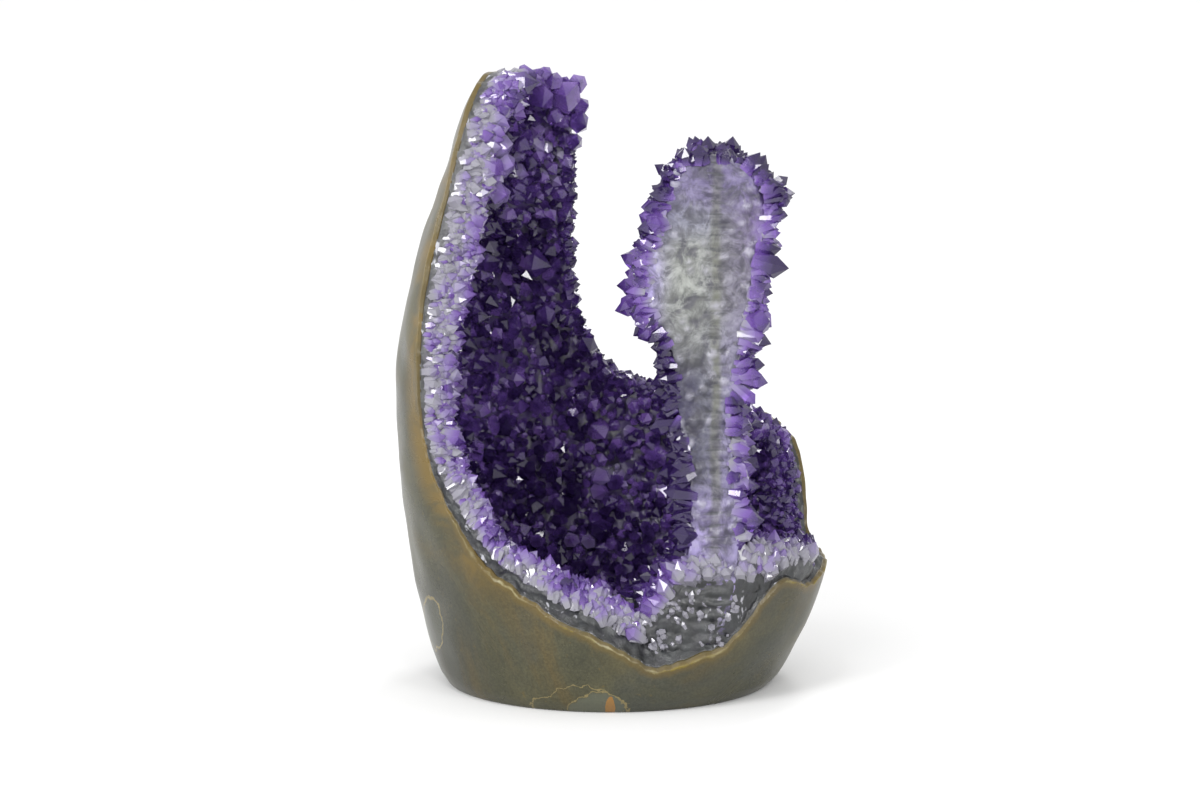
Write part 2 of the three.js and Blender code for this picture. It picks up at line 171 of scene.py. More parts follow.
def below_cut(points):
    """How far each point is from the nearest place on the cut edge, a block of points at a time."""
    flat = points.reshape(-1, 3)
    blocks = np.array_split(flat, 1 + len(flat) // COLUMNS)
    nearest = [np.linalg.norm(block[:, None] - cut_place, axis=-1).min(axis=1) for block in blocks]
    return np.concatenate(nearest).reshape(points.shape[:-1])


def closed_piece(name, grid, attributes):
    """A mesh from rows of points that each run once round, where the first and the last row are each one
    point. The quad of row i and column j joins (i, j), (i, j+1), (i+1, j+1) and (i+1, j)."""
    rows, columns = grid.shape[:2]
    number = 1 + np.arange((rows - 2) * columns).reshape(rows - 2, columns)
    after = np.roll(number, -1, axis=1)
    quads = np.stack([number[:-1], after[:-1], after[1:], number[1:]], -1).reshape(-1, 4)
    last = 1 + number.size
    first_fan = np.stack([np.zeros(columns, int), after[0], number[0]], -1)
    last_fan = np.stack([np.full(columns, last), number[-1], after[-1]], -1)
    points = np.concatenate([grid[0, :1], grid[1:-1].reshape(-1, 3), grid[-1, :1]])
    mesh = bpy.data.meshes.new(name)
    mesh.from_pydata(points, [], quads.tolist() + first_fan.tolist() + last_fan.tolist())
    for key, values in attributes.items():
        flat = np.concatenate([values[0, :1], values[1:-1].ravel(), values[-1, :1]])
        mesh.attributes.new(key, "FLOAT", "POINT").data.foreach_set("value", flat.astype(np.float32))
    mesh.shade_smooth()
    piece = bpy.data.objects.new(name, mesh)
    bpy.context.scene.collection.objects.link(piece)
    return piece


def square(grid):
    """The outward direction at each point of a grid that runs round: the step to the next column
    crossed with the step to the next row, made one long."""
    round_step = np.roll(grid, -1, axis=1) - np.roll(grid, 1, axis=1)
    up_step = np.gradient(grid, axis=0)
    out = np.cross(round_step, up_step)
    return out / np.maximum(np.linalg.norm(out, axis=-1, keepdims=True), 1e-12)


def inner(azimuth, share, depth, floor, rise):
    """A point of a layer's inside. Share runs from 0 in the middle of its floor, through a quarter turn
    t whose height is floor + rise (1 - cos t) and whose width is sin t, and then straight up to 1 at
    TOP."""
    turned = 0.29
    t = np.radians(90) * np.clip(share / turned, 0, 1)
    spring = floor + rise
    wall = spring + (TOP - spring) * np.clip((share - turned) / (1 - turned), 0, 1)
    height = np.where(share < turned, floor + rise * (1 - np.cos(t)), wall)
    if callable(depth):
        depth = depth(azimuth, height)
    return oval(azimuth, height, depth, np.sin(t))


def down_from_cut(layer, rows):
    """An inside as rows from where the cut meets it down to the middle of its floor. The cut stands at
    its own height plus its slope times the way inwards, and meets the inside at the first share where
    that is passed."""
    share = np.linspace(0, 1, 500)[:, None]
    points = inner(*np.broadcast_arrays(cut_azimuth, share), **layer)
    inwards = np.hypot(*cut_place[:, :2].T) - np.hypot(points[..., 0], points[..., 1])
    above = points[..., 2] - cut_height - cut_slope * inwards
    first = np.argmax(above > 0, axis=0)
    column = np.arange(COLUMNS)
    beyond, short = above[first, column], above[first - 1, column]
    met = share[first - 1, 0] + (share[1, 0] - share[0, 0]) * -short / (beyond - short)
    return inner(np.tile(cut_azimuth, (rows, 1)), met * np.linspace(1, 0, rows)[:, None], **layer)


def skin_grid():
    """The skin's rows: across the base, round its edge, up the outside to the cut, over the cut edge,
    and down the inside to the floor. The outside's rows stand closer towards the cut, and low waves of
    two lengths wear it, less towards the base."""
    azimuth, top = cut_azimuth, cut_height
    flat = [oval(azimuth, 0 * azimuth, BASE_ROUND, share) for share in (0, 0.4, 0.8, 1)]
    t = np.radians([30, 60, 90])[:, None]
    edge = oval(azimuth, BASE_ROUND * (1 - np.cos(t)) + 0 * azimuth, BASE_ROUND * (1 - np.sin(t)))
    t = np.linspace(0, 1, 76)[1:, None]
    t = 1 - (1 - t) ** 1.5
    wall = oval(azimuth, BASE_ROUND + (top - BASE_ROUND) * t)
    worn = 0.35 * waves(wall, 34 * mm, 4) + 0.12 * waves(wall, 12 * mm, 5)
    fade = np.clip(wall[..., 2] / (12 * mm), 0, 1)
    wall = wall + square(wall) * (worn * mm * fade)[..., None] * np.array([1, 1, 0])
    inside = down_from_cut(SKIN_INSIDE, 14)
    t = np.linspace(0, 1, 5)[1:-1, None, None]
    across = wall[-1] + (inside[0] - wall[-1]) * t
    return np.concatenate([np.array(flat), edge, wall, across, inside])


def new_material(name, **sockets):
    """A material whose shader has these constants on its own sockets."""
    made = bpy.data.materials.new(name)
    made.use_nodes = True
    shader = made.node_tree.nodes["Principled BSDF"]
    for key, value in sockets.items():
        shader.inputs[key.replace("_", " ")].default_value = value
    return made


def node(made, kind, settings=None, **links):
    """A node of a material. Settings are its own properties, and links are its inputs, by name or by
    number, as _0: an output is joined to the input, and a number or colour is set on it."""
    new = made.node_tree.nodes.new("ShaderNode" + kind)
    for key, value in (settings or {}).items():
        setattr(new, key, value)
    for key, value in links.items():
        socket = new.inputs[int(key[1:])] if key[0] == "_" else new.inputs[key.replace("_", " ")]
        if isinstance(value, bpy.types.NodeSocket):
            made.node_tree.links.new(value, socket)
        else:
            socket.default_value = value
    return new


def dress(made, **outputs):
    """Joins outputs to the inputs of the material's own shader."""
    shader = made.node_tree.nodes["Principled BSDF"]
    for key, output in outputs.items():
        made.node_tree.links.new(output, shader.inputs[key.replace("_", " ")])


def spot(made):
    """The place on the piece, in metres."""
    return node(made, "TexCoord").outputs["Object"]


def own(made, key):
    """The value of the piece's own attribute of this name."""
    return node(made, "Attribute", {"attribute_name": key}).outputs["Fac"]


def grey(made, value):
    """A colour whose red, green and blue are all this value."""
    return node(made, "CombineColor", Red=value, Green=value, Blue=value).outputs[0]


def ramp(made, factor, *stops):
    """Colours at places from 0 to 1, blended between."""
    new = node(made, "ValToRGB", Fac=factor)
    while len(new.color_ramp.elements) < len(stops):
        new.color_ramp.elements.new(0.5)
    for element, (place, colour) in zip(new.color_ramp.elements, stops):
        element.position = place
        element.color = (*colour, 1)
    return new.outputs["Color"]


def over(made, share, under, top, way="MIX"):
    """One colour over another, by a share from 0 to 1."""
    new = node(made, "Mix", {"data_type": "RGBA", "blend_type": way}, _0=share, _6=under, _7=top)
    return new.outputs[2]


def noise(made, place, scale, detail=4.0, roughness=0.55, distortion=0.0):
    """Cloudy noise, mostly from 0.3 to 0.7, with this many clouds to the metre."""
    settings = dict(Scale=scale, Detail=detail, Roughness=roughness, Distortion=distortion)
    return node(made, "TexNoise", Vector=place, **settings).outputs["Fac"]


def between(made, value, low, high, to_low=0.0, to_high=1.0):
    """A value mapped from one range to another, and held at its ends."""
    new = node(made, "MapRange", {"interpolation_type": "SMOOTHSTEP"}, Value=value)
    for key, number in zip(("From Min", "From Max", "To Min", "To Max"), (low, high, to_low, to_high)):
        new.inputs[key].default_value = number
    return new.outputs["Result"]


def maths(made, operation, a, b=0.0):
    """The result of one operation on two values."""
    return node(made, "Math", {"operation": operation}, _0=a, _1=b).outputs[0]


def times(made, a, b):
    """The product of two values."""
    return maths(made, "MULTIPLY", a, b)


def relief(made, place, strength, height, scale):
    """Small relief: the surface's direction, turned by the slope of a fine noise of this height."""
    rough = noise(made, place, scale, 4, 0.6)
    return node(made, "Bump", Strength=strength, Distance=height, Height=rough).outputs[0]


def band_of(made, value, middle, width, soft):
    """One where a value is within half a width of the middle, falling to nothing over the soft part."""
    off = maths(made, "ABSOLUTE", maths(made, "SUBTRACT", value, middle))
    return between(made, off, width / 2, width / 2 + soft, 1, 0)


def eye(made, place, wobble, under, x, z, wide, high, patch, line, strength):
    """A mineral eye in the rock: a line round a patch. The distance is that from its middle in x and z,
    over its half-width and half-height, plus 1.3 times what the wobble is over a half, and the line,
    0.16 mm wide, lies at one. It is drawn on the front half only."""
    local = node(made, "Mapping", Vector=place)
    local.inputs["Scale"].default_value = (1 / (wide * mm), 0, 1 / (high * mm))
    local.inputs["Location"].default_value = (-x / wide, 0, -z / high)
    distance = node(made, "VectorMath", {"operation": "LENGTH"}, _0=local.outputs[0]).outputs["Value"]
    moved = maths(made, "ADD", distance, times(made, wobble, 1.3))
    moved = maths(made, "SUBTRACT", moved, 0.65)
    front = between(made, node(made, "SeparateXYZ", _0=place).outputs["Y"], -4 * mm, 4 * mm, 1, 0)
    filled = times(made, between(made, moved, 0.85, 1.0, strength, 0), front)
    under = over(made, filled, under, patch)
    width = 0.16 / min(wide, high)
    edge = times(made, band_of(made, moved, 1.0, width, width), front)
    return over(made, edge, under, line)


def basalt():
    """Polished basalt: olive-grey clouded with brown and slate, ochre in patches under the cut edge, a
    thin broken line of ochre and cream along the low part of that edge, and mineral eyes."""
    made = new_material("polished_basalt", Roughness=0.3, IOR=1.5, Specular_IOR_Level=0.35)
    place = spot(made)
    x, _, z = node(made, "SeparateXYZ", _0=place).outputs
    cloud = noise(made, place, 24, 8, 0.66, 0.8)
    colour = ramp(
        made,
        cloud,
        (0.3, (0.027, 0.027, 0.0155)),
        (0.46, (0.042, 0.041, 0.023)),
        (0.58, (0.054, 0.051, 0.027)),
        (0.72, (0.08, 0.072, 0.036)),
    )
    brown, slate, cool_grey = (0.07, 0.052, 0.019, 1), (0.036, 0.039, 0.032, 1), (0.034, 0.036, 0.03, 1)
    in_clouds = between(made, noise(made, place, 13, 7, 0.7, 1.4), 0.46, 0.62, 0, 0.75)
    colour = over(made, in_clouds, colour, brown)
    in_clouds = between(made, noise(made, place, 17, 6, 0.6, 0.5), 0.52, 0.66, 0, 0.7)
    colour = over(made, in_clouds, colour, slate)
    far_left = between(made, x, -50 * mm, -36 * mm, 0.5, 0)
    low_down = between(made, z, 20 * mm, 50 * mm, 1, 0)
    colour = over(made, times(made, far_left, low_down), colour, cool_grey)
    grain = between(made, noise(made, place, 1300, 3, 0.7), 0.3, 0.7, 0.72, 1.2)
    colour = over(made, 0.85, colour, grey(made, grain), "MULTIPLY")
    rust, ochre = (0.1, 0.07, 0.018, 1), (0.115, 0.074, 0.014, 1)
    in_specks = between(made, noise(made, place, 300, 4, 0.7), 0.64, 0.7, 0, 0.45)
    colour = over(made, in_specks, colour, rust)
    wander = times(made, noise(made, place, 330, 4, 0.7), 2.2 * mm)
    depth = maths(made, "SUBTRACT", maths(made, "ADD", own(made, "below_cut"), wander), 1.1 * mm)
    on_left = between(made, x, -45 * mm, -30 * mm, 1, 0.12)
    in_patches = between(made, noise(made, place, 34, 4, 0.65, 0.8), 0.42, 0.62, 0, 1)
    wide = times(made, times(made, between(made, depth, 1 * mm, 11 * mm, 0.9, 0), on_left), in_patches)
    narrow = between(made, depth, 0.5 * mm, 3 * mm, 0.5, 0)
    colour = over(made, maths(made, "MAXIMUM", wide, narrow), colour, ochre)
    low = between(made, z, 45 * mm, 75 * mm, 0.95, 0.1)
    broken = between(made, noise(made, place, 95, 3, 0.6), 0.36, 0.52, 0.3, 1)
    on_rim = times(made, between(made, depth, 0.0, 0.6 * mm, 1, 0), times(made, low, broken))
    rim = ramp(made, noise(made, place, 75, 3), (0.4, (0.14, 0.105, 0.013)), (0.62, (0.23, 0.21, 0.13)))
    colour = over(made, on_rim, colour, rim)
    cream, moss, orange = (0.15, 0.12, 0.052, 1), (0.07, 0.075, 0.055, 1), (0.2, 0.1, 0.025, 1)
    wobble = noise(made, place, 105, 4, 0.65)
    # Each eye's middle x and height, half-width and half-height in mm, patch, line, and patch's strength
    for parts in (
        (-8.5, 0, 14.5, 8.5, moss, cream, 0.0),
        (-3, 1, 8.5, 6.2, moss, cream, 0.75),
        (-53, 21, 3, 8.2, moss, cream, 0.3),
        (0, 1, 1.3, 4.2, orange, orange, 0.9),
    ):
        colour = eye(made, place, wobble, colour, *parts)
    gloss = between(made, cloud, 0.3, 0.8, 0.22, 0.4)
    dress(made, Base_Color=colour, Normal=relief(made, place, 0.12, 0.4 * mm, 420), Roughness=gloss)
    return made


grid = skin_grid()
skin = closed_piece("polished_skin", grid, {"below_cut": below_cut(grid)})
skin.data.materials.append(basalt())
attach(skin, "root")
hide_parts("rock_skin")

# Behind the skin comes a band of quartz, grown inwards as a comb of crystals: grey and glassy next to the
# rock, milky and lilac further in. The cut shows it edge on, rough as it broke, and its inner side is the
# bed of the crystals.
BAND_BACK = dict(depth=1.2 * mm, floor=5.2 * mm, rise=8 * mm)


def bed_depth(azimuth, height):
    """How deep the crystal bed lies under the outside: 10 mm and two sine waves that run round and up."""
    return mm * (
        10
        + 1.1 * np.sin(2 * azimuth + 1 + height / (21 * mm))
        + 0.8 * np.sin(5 * azimuth - height / (13 * mm))
    )


BED = dict(depth=bed_depth, floor=19 * mm, rise=26 * mm)


def cells(points, size, seed):
    """The distance to the nearest of scattered seeds, one in each cube of this size, over the size,
    and a number from 0 to 1 that belongs to that seed. Three primes spread the cubes over the table."""
    rng = np.random.default_rng(seed)
    table = rng.uniform(0, 1, (4096, 4))
    cube = np.floor(points / size).astype(int)
    best = np.full(points.shape[:-1], 9.0)
    mark = np.zeros(points.shape[:-1])
    for shift in np.ndindex(3, 3, 3):
        home = cube + np.array(shift) - 1
        pick = (home @ np.array([73, 1259, 3571])) % len(table)
        seed_at = (home + table[pick, :3]) * size
        distance = np.linalg.norm(points - seed_at, axis=-1) / size
        closer = distance < best
        best = np.where(closer, distance, best)
        mark = np.where(closer, table[pick, 3], mark)
    return best, mark


def band_grid():
    """The band's rows: from the middle underneath up behind the skin, straight across the cut with a
    crust of small cones on it, and down the bed to the floor. Also how far across the band each row is,
    from 0 to 1."""
    outer = down_from_cut(BAND_BACK, 14)[::-1]
    bed = down_from_cut(BED, 80)
    t = np.linspace(0, 1, 28)[1:-1, None]
    cut = outer[-1] + (bed[0] - outer[-1]) * t[..., None]
    grid = np.concatenate([outer, cut, bed])
    share = np.concatenate([np.zeros(len(outer)), t[:, 0], np.ones(len(bed))])
    shown = np.sin(np.radians(90) * np.clip(2 * share, 0, 1))
    near, mark = cells(grid, 3.2 * mm, 11)
    fine, _ = cells(grid, 1.5 * mm, 12)
    lift = (1.5 * (0.5 - near) * (0.4 + mark) + 0.4 * (0.5 - fine)) * mm
    lift[-1] = lift[-1, 0]
    out = square(grid)
    out[-1] = [0, 0, 1]
    grid = grid + out * (lift * shown[:, None])[..., None]
    return grid, share[:, None] + 0 * cut_azimuth


def comb_quartz():
    """Comb quartz: glassy grey to milky lilac, streaked the way it grew, with painted shade in its gaps,
    and white specks on the cut that are painted highlights where faces catch the lamps."""
    made = new_material("comb_quartz", Roughness=0.28, IOR=1.544)
    place, across = spot(made), own(made, "across")
    patch = maths(made, "SUBTRACT", noise(made, place, 190, 5, 0.6, 0.4), 0.5)
    grown = maths(made, "ADD", across, times(made, patch, 0.5))
    glassy = ramp(
        made,
        grown,
        (0.03, (0.012, 0.013, 0.013)),
        (0.12, (0.018, 0.02, 0.021)),
        (0.45, (0.023, 0.025, 0.027)),
        (1.0, (0.018, 0.018, 0.023)),
    )
    milky = ramp(
        made,
        grown,
        (0.02, (0.03, 0.031, 0.029)),
        (0.2, (0.075, 0.075, 0.08)),
        (0.5, (0.09, 0.08, 0.12)),
        (0.85, (0.07, 0.047, 0.13)),
        (1.0, (0.03, 0.014, 0.08)),
    )
    upright = node(made, "Mapping", Vector=place, Scale=(1, 1, 0.22))
    streak = between(made, noise(made, upright.outputs[0], 260, 4, 0.65), 0.35, 0.68, 0.42, 1.2)
    glassy = over(made, 1.0, glassy, grey(made, streak), "MULTIPLY")
    colour = over(made, own(made, "violet"), glassy, milky)
    # Painted shade: darker in the gaps between the crystals.
    painted_gap_shade = between(made, noise(made, place, 330, 4, 0.6), 0.4, 0.52, 0.75, 0)
    colour = over(made, painted_gap_shade, colour, (0.018, 0.018, 0.022, 1))
    # Painted highlights: pale streaky specks on the cut and on the septum's foot, where crystal faces
    # catch the lamps.
    drawn = node(made, "Mapping", Vector=place, Rotation=(0.3, 0.5, 0), Scale=(1, 1, 0.4))
    in_specks = between(made, noise(made, drawn.outputs[0], 420, 2, 0.6), 0.64, 0.74, 0, 0.7)
    on_cut_only = between(made, across, 0.75, 0.97, 1, 0)
    colour = over(made, times(made, in_specks, on_cut_only), colour, (0.42, 0.42, 0.46, 1))
    dress(made, Base_Color=colour, Normal=relief(made, place, 0.4, 0.6 * mm, 700))
    return made


quartz = comb_quartz()
grid, across = band_grid()
degrees = np.degrees(cut_azimuth) % 360
# The cut is grey right across in front, under the mound, and beside the rock low on the left.
front_grey = np.clip((degrees - 258) / 14, 0, 1) * np.clip((350 - degrees) / 20, 0, 1)
grey_strip = 0.42 * np.clip((78 * mm - cut_height) / (25 * mm), 0, 1)
violet = (1 - front_grey) * np.clip((across - grey_strip) / 0.08, 0, 1) ** (grey_strip > 0)
band = closed_piece("quartz_band_comb", grid, {"across": across, "violet": violet})
band.data.materials.append(quartz)
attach(band, "root")
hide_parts("quartz_band")

# The septum is a wall of the same quartz, grown across the hollow from a low mound on the right and sawn
# off flush in front. It is widest above its middle, and crystals grow on all its sides but the sawn one.
SPINE_X = 30.5 * mm
# Height, reach to the left and right of the spine, y of the sawn face, y of the back
SEPTUM = mm * np.array(
    [
        [20, 10, 2, -39.8, -5],
        [36, 9, 6, -39.2, -6],
        [50, 8, 7, -38.5, -7],
        [66, 7.5, 6, -37, -8],
        [90, 11.5, 4.5, -34.5, -9],
        [105, 13, 7.5, -33, -8],
        [114, 18.5, 9, -32, -7],
        [124, 21.5, 12, -31, -6],
        [135, 19, 13, -30, -6],
        [149, 14.5, 16, -28.5, -7],
        [156, 13, 13, -28, -9],
        [161, 9, 5, -27.5, -13],
    ]
)
# The mound, in the same way
MOUND = mm * np.array(
    [
        [12, 27, 28, -40, 6],
        [24, 26, 30, -40, 6],
        [33, 19, 31, -39.5, 5],
        [40, 12, 29, -39, 2],
        [44, 8, 22, -38.5, -2],
    ]
)
# How far the mound and the septum would stand out in front of the saw's face
BEFORE_SAW = 9 * mm


def slab(table, angle, height):
    """A rounded slab about the spine: x is reach times the 0.7th power of cos a, y the same with sin a
    between the back and a little in front of the sawn face, where the saw stops it."""
    left, right, face, back = np.moveaxis(through(table[:, 0], table[:, 1:], height), -1, 0)
    front = face - BEFORE_SAW
    middle, half = (front + back) / 2, (back - front) / 2
    c, s = [np.sign(v) * np.abs(v) ** 0.7 for v in (np.cos(angle), np.sin(angle))]
    x = SPINE_X + np.where(c < 0, left, right) * c
    y = middle + half * s
    return np.stack([x, np.maximum(y, face), height + 0 * x], -1)


def held(points, inset):
    """Points drawn straight in to the oval at their height, less an inset, where they are outside it."""
    x, y, z = np.moveaxis(points, -1, 0)
    across, deep = half_widths(x, y, np.maximum(z, 0), inset)
    share = np.hypot(x / across, y / deep)
    return points / np.stack([np.maximum(share, 1)] * 2 + [np.ones_like(share)], -1)


def slab_grid(table, rows, columns, rough):
    """A slab's rows from a point in the middle of its foot to one in the middle of its top, roughened by
    lumps of two sizes and by ribs beside the spine. Also its lumps, how pale each is, and its ribs."""
    low, high = table[0, 0], table[-1, 0]
    angle = np.linspace(0, 2 * np.pi, columns, endpoint=False)
    height = np.concatenate([[low] * 3, np.linspace(low, high, rows), [high] * 3])[:, None]
    shrink = np.concatenate([[0, 0.5, 0.9], np.ones(rows), [0.85, 0.5, 0]])[:, None, None]
    grid = held(slab(table, angle, height + 0 * angle), 2 * mm)
    middle = grid.mean(axis=1, keepdims=True)
    grid = middle + (grid - middle) * shrink
    grid[-3:, :, 2] += (mm * np.array([0.9, 1.7, 2]))[:, None]
    near, mark = cells(grid, 3.4 * mm, 21)
    fine, _ = cells(grid, 1.6 * mm, 22)
    beside = np.exp(-(((grid[..., 0] - SPINE_X) / (4.5 * mm)) ** 2))
    ribs = np.cos(2 * np.pi * grid[..., 2] / (3.6 * mm) + waves(grid, 15 * mm, 23)) * beside
    lift = rough * mm * (1.6 * (0.55 - near) * (0.3 + mark) + 0.5 * (0.5 - fine) + 0.4 * ribs)
    out = square(grid)
    lift[:3] = 0
    lift[-1] = lift[-1, 0]
    out[-1] = [0, 0, 1]
    lump = np.clip(1.15 - 1.5 * near, 0, 1)
    return grid + out * lift[..., None], {"lump": lump, "pale": lump * mark, "rib": ribs}


# Tints of the sawn face: middle x and height and reach in x and height, in mm, and colour
FACE_TINTS = np.array(
    [
        [22, 127, 10, 13, 0.15, 0.158, 0.145],
        [25, 112, 6, 8, 0.15, 0.156, 0.15],
        [9, 127, 5, 8, 0.19, 0.145, 0.36],
        [9, 114, 4, 5, 0.075, 0.035, 0.21],
        [12, 144, 6, 8, 0.04, 0.032, 0.09],
        [22, 143, 7, 4, 0.1, 0.1, 0.14],
        [29, 154, 12, 6, 0.082, 0.068, 0.135],
        [38, 128, 8, 14, 0.072, 0.064, 0.098],
        [47, 140, 6, 9, 0.07, 0.035, 0.15],
        [36, 106, 6, 8, 0.1, 0.092, 0.14],
        [42, 96, 4, 14, 0.085, 0.068, 0.135],
        [20, 88, 9, 21, 0.012, 0.01, 0.03],
        [28, 90, 3, 20, 0.06, 0.062, 0.08],
        [35, 78, 5, 16, 0.1, 0.088, 0.155],
        [27, 54, 5, 9, 0.15, 0.125, 0.24],
        [38, 52, 6, 8, 0.11, 0.095, 0.17],
    ]
)


def face_tint(grid):
    """The mean of the tints, each weighed by e to the minus square of the distance to its middle in
    reaches, as one array for each of red, green and blue."""
    across = (grid[..., 0, None] / mm - FACE_TINTS[:, 0]) / FACE_TINTS[:, 2]
    up = (grid[..., 2, None] / mm - FACE_TINTS[:, 1]) / FACE_TINTS[:, 3]
    weight = np.exp(-(across**2) - up**2) + 1e-9
    tint = (weight @ FACE_TINTS[:, 4:]) / weight.sum(-1, keepdims=True)
    return dict(zip(("red", "green", "blue"), np.moveaxis(tint, -1, 0)))


def sawn_comb():
    """The septum's sawn comb of quartz: pale grey-green by the spine, purple-grey to the right, lilac and
    violet at the edges, dark low on the left, with pale lumps, painted shade in the gaps between lumps
    and in the troughs between ribs, and a greenish ribbed spine."""
    made = new_material("sawn_comb", Roughness=0.26, IOR=1.544, Specular_IOR_Level=0.4)
    place = spot(made)
    tint = {key.capitalize(): own(made, key) for key in ("red", "green", "blue")}
    colour = node(made, "CombineColor", **tint).outputs[0]
    cloud = between(made, noise(made, place, 170, 5, 0.7, 0.6), 0.34, 0.68, 0.5, 1.5)
    colour = over(made, 1.0, colour, grey(made, cloud), "MULTIPLY")
    spine = between(made, own(made, "beside"), 0.4 * mm, 2.2 * mm, 0.5, 0)
    colour = over(made, times(made, spine, cloud), colour, (0.085, 0.09, 0.058, 1))
    # Painted shade in the gaps between lumps and in the troughs between ribs, and pale lumps: the range
    # that shows, the clouds it shows in, and its colour
    for key, shown, clouded, paint in (
        ("lump", (0.0, 0.5, 0.7, 0), (0.6, 1.3, 1, 0.1), (0.025, 0.023, 0.038, 1)),
        ("rib", (-0.9, -0.35, 0.8, 0), (0.7, 1.5, 1, 0.35), (0.022, 0.023, 0.028, 1)),
        ("pale", (0.2, 0.85, 0, 0.7), (0.6, 1.2, 0.3, 1), (0.25, 0.245, 0.29, 1)),
    ):
        share = times(made, between(made, own(made, key), *shown), between(made, cloud, *clouded))
        colour = over(made, share, colour, paint)
    dress(made, Base_Color=colour, Normal=relief(made, place, 0.4, 0.6 * mm, 600))
    return made


core_grid, core_relief = slab_grid(SEPTUM, 190, 200, 0.8)
spine_sway = 0.8 * mm * waves(core_grid[..., 2:], 30 * mm, 24)
beside_spine = np.abs(core_grid[..., 0] - SPINE_X - spine_sway)
core_looks = {**core_relief, **face_tint(core_grid), "beside": beside_spine}
core = closed_piece("septum_core", core_grid, core_looks)
core.data.materials.append(sawn_comb())
mound_grid, _ = slab_grid(MOUND, 60, 240, 0.9)
mound_height = np.clip((mound_grid[..., 2] - 40 * mm) / (6 * mm), 0, 1)
mound_looks = {"across": 0.3 + 0.4 * mound_height, "violet": mound_height}
mound = closed_piece("septum_foot", mound_grid, mound_looks)
mound.data.materials.append(quartz)
for piece in (core, mound):
    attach(piece, "root")
    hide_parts("quartz_band")

# The crystals are amethyst points, pale at the root and deep violet at the tip, packed over the whole bed
# of the hollow. Most are two to four millimetres across, with a larger one here and there, and where they
# meet the sawn edge they are pale.
GOLDEN = np.radians(137.507764)
# How deep a crystal's root is sunk in the quartz
SUNK = 1.6 * mm


def amethyst():
    """Amethyst: clear, pale at the root, violet at the tip, by plain transmission with quartz's IOR."""
    made = new_material("amethyst_points", Roughness=0.06, IOR=1.544, Transmission_Weight=0.55)
    cloud = maths(made, "SUBTRACT", noise(made, spot(made), 160, 3), 0.5)
    colour = ramp(
        made,
        maths(made, "ADD", own(made, "tone"), times(made, cloud, 0.35)),
        (0.0, (0.38, 0.37, 0.43)),
        (0.25, (0.33, 0.265, 0.51)),
        (0.5, (0.22, 0.118, 0.45)),
        (0.75, (0.1, 0.048, 0.25)),
        (1.0, (0.032, 0.015, 0.09)),
    )
    dress(made, Base_Color=colour)
    return made


violet_glass = amethyst()


def crystal_piece(name, root, axis, radius, length, tone, seed):
    """Six-sided points as one mesh. Each has a hexagon at its root, another at its shoulder and a tip:
    root + axis times height + radius times (cos, sin) of its corners in the plane square to the axis.
    Corners, shoulders and tips are each a little off, so no two are alike. The crystal's tone is lower
    at its root and higher at its shoulder and tip."""
    rng = np.random.default_rng(seed)
    count = len(root)
    axis = axis / np.linalg.norm(axis, axis=1, keepdims=True)
    side = np.cross(axis, rng.normal(size=(count, 3)))
    side /= np.linalg.norm(side, axis=1, keepdims=True)
    other = np.cross(axis, side)
    angle = np.radians(60) * np.arange(6) + rng.uniform(-0.12, 0.12, (count, 6))
    reach = radius[:, None] * rng.uniform(0.85, 1.12, (count, 6))
    corner = np.cos(angle)[..., None] * side[:, None] + np.sin(angle)[..., None] * other[:, None]
    shoulder = length - radius * rng.uniform(0.95, 1.25, count)
    shoulder = shoulder[:, None] + radius[:, None] * rng.uniform(-0.22, 0.22, (count, 6))
    foot = root[:, None] + corner * (0.8 * reach)[..., None]
    upper = root[:, None] + corner * reach[..., None] + axis[:, None] * shoulder[..., None]
    off = radius[:, None] * rng.uniform(-0.25, 0.25, (count, 2))
    tip = root + axis * length[:, None] + side * off[:, :1] + other * off[:, 1:]
    points = np.concatenate([foot, upper, tip[:, None]], axis=1)
    # A crystal's 13 points are 0 to 5 at its root, 6 to 11 at its shoulder, and 12 at its tip.
    first = 13 * np.arange(count)[:, None, None]
    k, after = np.arange(6), (np.arange(6) + 1) % 6
    prism = (first + np.stack([k, after, 6 + after, 6 + k], -1)).reshape(-1, 4)
    point = (first + np.stack([6 + k, 6 + after, 0 * k + 12], -1)).reshape(-1, 3)
    under = first[:, 0] + k[::-1]
    mesh = bpy.data.meshes.new(name)
    mesh.from_pydata(points.reshape(-1, 3), [], prism.tolist() + point.tolist() + under.tolist())
    # What is added to the tone at the root, the shoulder and the tip
    level = np.concatenate([np.full(6, -0.35), np.full(6, 0.12), [0.3]])
    mesh.attributes.new("tone", "FLOAT", "POINT").data.foreach_set(
        "value", (tone[:, None] + level).astype(np.float32).ravel()
    )
    piece = bpy.data.objects.new(name, mesh)
    bpy.context.scene.collection.objects.link(piece)
    piece.data.materials.append(violet_glass)
    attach(piece, "root")
    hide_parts("amethyst_crust")


def bed(azimuth, share):
    """A point of the crystal bed, as inner has it."""
    return inner(azimuth, share, **BED)


def facing(surface, a, b):
    """The direction square to a surface, which is the step in b crossed with the step in a, and how far
    one unit of each of the two reaches, by small differences."""
    step = 1e-3
    da = (surface(a + step, b) - surface(a - step, b)) / (2 * step)
    db = (surface(a, b + step) - surface(a, b - step)) / (2 * step)
    out = np.cross(db, da)
    reach_a, reach_b, area = [np.maximum(np.linalg.norm(v, axis=-1), 1e-9) for v in (da, db, out)]
    return out / area[..., None], reach_a, reach_b


